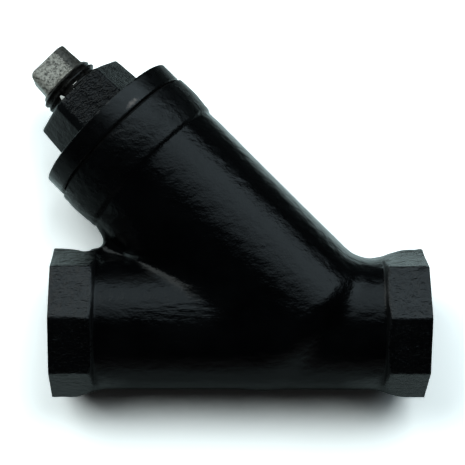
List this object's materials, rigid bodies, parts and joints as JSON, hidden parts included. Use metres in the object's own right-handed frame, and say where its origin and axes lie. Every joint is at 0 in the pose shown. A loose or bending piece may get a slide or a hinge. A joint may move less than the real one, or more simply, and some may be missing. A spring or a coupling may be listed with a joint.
{
  "type": "y-pattern strainer",
  "caption": "Black cast-iron Y-pattern line strainer with octagon screwed pipe ends, a slanted screen branch, a screwed hexagon cap on a gasket and a square-head blow-off plug.",
  "frame": {"origin": "centre of the inlet port's face", "axes": "+X out of the inlet port along the run, +Y towards the branch side, +Z square to the plane of the Y, up as the strainer lies on a table"},
  "size_m": [0.0855, 0.0765, 0.0366],
  "materials": {
    "body_paint": "glossy black paint over a rough casting",
    "cap_paint": "black paint, thinner and rougher than on the body",
    "gasket_fibre": "compressed fibre, paint-stained edge",
    "screen_steel": "plain stainless sheet",
    "mesh_steel": "fine woven wire",
    "plug_iron": "bare grey iron, grainy",
    "thread_tape": "white sealing tape"
  },
  "bodies": {
    "body": {"body": "body_paint"},
    "gasket": {"cap_gasket": "gasket_fibre"},
    "cap": {"cap": "cap_paint"},
    "screen": {"screen_sheet": "screen_steel", "screen_seam": "screen_steel", "screen_liner": "mesh_steel", "screen_lower_ring": "screen_steel", "screen_upper_ring": "screen_steel"},
    "seal": {"plug_thread_tape": "thread_tape"},
    "plug": {"blowoff_plug": "plug_iron"}
  },
  "joints": [
    {"name": "cap_travel", "type": "slide", "parent": "body", "child": "gasket", "axis": [-0.7071, 0.7071, 0], "range_m": [0, 0.0125]},
    {"name": "cap_turn", "type": "hinge", "parent": "gasket", "child": "cap", "pos_m": [-0.025, 0, 0], "axis": [-0.7071, 0.7071, 0], "range_deg": [0, 2160]},
    {"name": "screen_travel", "type": "slide", "parent": "body", "child": "screen", "axis": [-0.7071, 0.7071, 0], "range_m": [0, 0.0125]},
    {"name": "plug_travel", "type": "slide", "parent": "cap", "child": "seal", "axis": [-0.7071, 0.7071, 0], "range_m": [0, 0.0066]},
    {"name": "plug_turn", "type": "hinge", "parent": "seal", "child": "plug", "pos_m": [-0.025, 0, 0], "axis": [-0.7071, 0.7071, 0], "range_deg": [0, 1620]}
  ],
  "couplings": [
    {"joint": "cap_travel", "follows": "cap_turn", "m_per_rad": 0.00031831},
    {"joint": "screen_travel", "follows": "cap_turn", "m_per_rad": 0.00031831},
    {"joint": "plug_travel", "follows": "plug_turn", "m_per_rad": 0.00022441}
  ]
}
